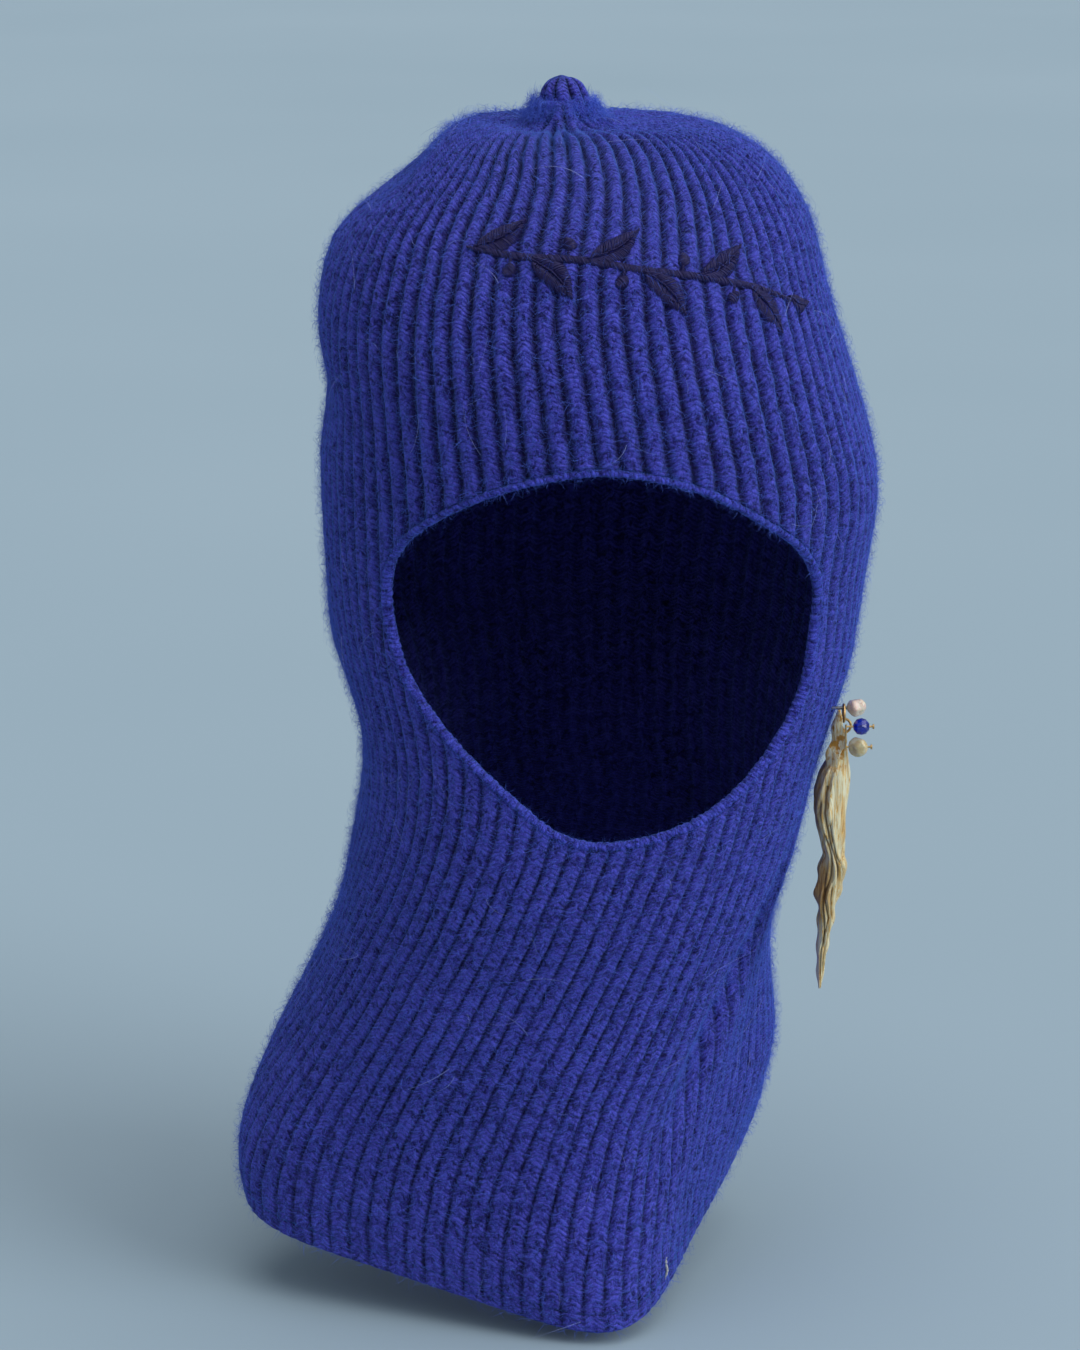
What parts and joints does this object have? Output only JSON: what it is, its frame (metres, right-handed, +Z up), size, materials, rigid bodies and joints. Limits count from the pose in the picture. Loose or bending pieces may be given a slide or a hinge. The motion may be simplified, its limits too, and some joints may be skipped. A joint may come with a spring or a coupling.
{
  "type": "balaclava",
  "caption": "Brushed rib-knit balaclava with an egg-shaped face opening, a long slanting neck, an embroidered leaf sprig and a pinned shell ornament.",
  "frame": {"origin": "centre of the head cavity at the wearer's eye level", "axes": "+Z up to the crown, -Y out of the face opening, +X towards the wearer's left, where the ornament hangs"},
  "size_m": [0.1989, 0.2006, 0.3715],
  "materials": {
    "knit": "brushed, fuzzy cobalt-blue rib knit",
    "seam_yarn": "linked seam in the same yarn",
    "cast_thread": "pale thread end",
    "stitch_thread": "dark violet satin-stitch thread",
    "backing_felt": "thin felt",
    "pin_wire": "bright wire",
    "gilt_wire": "gilt wire",
    "pearl": "pearl lustre",
    "shell": "wrinkled cream shell with gold and brown folds",
    "blue_glass": "faceted transparent blue"
  },
  "bodies": {
    "hood": {"front_panel": "knit", "back_panel": "knit", "face_edge": "knit", "hem_edge": "knit", "side_seam_left": "seam_yarn", "side_seam_right": "seam_yarn", "crown_seam": "knit", "yarn_tail": "seam_yarn", "hem_tail": "cast_thread", "sprig_stem": "stitch_thread", "sprig_leaves": "stitch_thread", "sprig_berries": "stitch_thread", "sprig_backing": "backing_felt", "pin_post": "pin_wire", "pearl_top": "pearl"},
    "clutch": {"pin_clutch": "pin_wire"},
    "link": {"link_ring": "gilt_wire"},
    "pendant": {"shell": "shell", "shell_loop": "gilt_wire", "bead_wires": "gilt_wire"},
    "glass": {"glass_bead": "blue_glass"},
    "low_pearl": {"pearl_low": "pearl"}
  },
  "joints": [
    {"name": "clutch_slide", "type": "slide", "parent": "hood", "child": "clutch", "axis": [-1, 0, 0], "range_m": [0, 0.006]},
    {"name": "ornament_swing", "type": "hinge", "parent": "hood", "child": "link", "pos_m": [0.07476, -0.04234, -0.0501], "axis": [1, 0, 0], "range_deg": [-70, 17]},
    {"name": "shell_lift", "type": "hinge", "parent": "link", "child": "pendant", "pos_m": [0.07476, -0.04234, -0.05435], "axis": [0, -1, 0], "range_deg": [0, 46]},
    {"name": "glass_spin", "type": "hinge", "parent": "pendant", "child": "glass", "pos_m": [0.07966, -0.04894, -0.05425], "axis": [1, 0, 0], "continuous": true},
    {"name": "pearl_spin", "type": "hinge", "parent": "pendant", "child": "low_pearl", "pos_m": [0.07876, -0.04894, -0.06065], "axis": [1, 0, 0], "continuous": true}
  ]
}
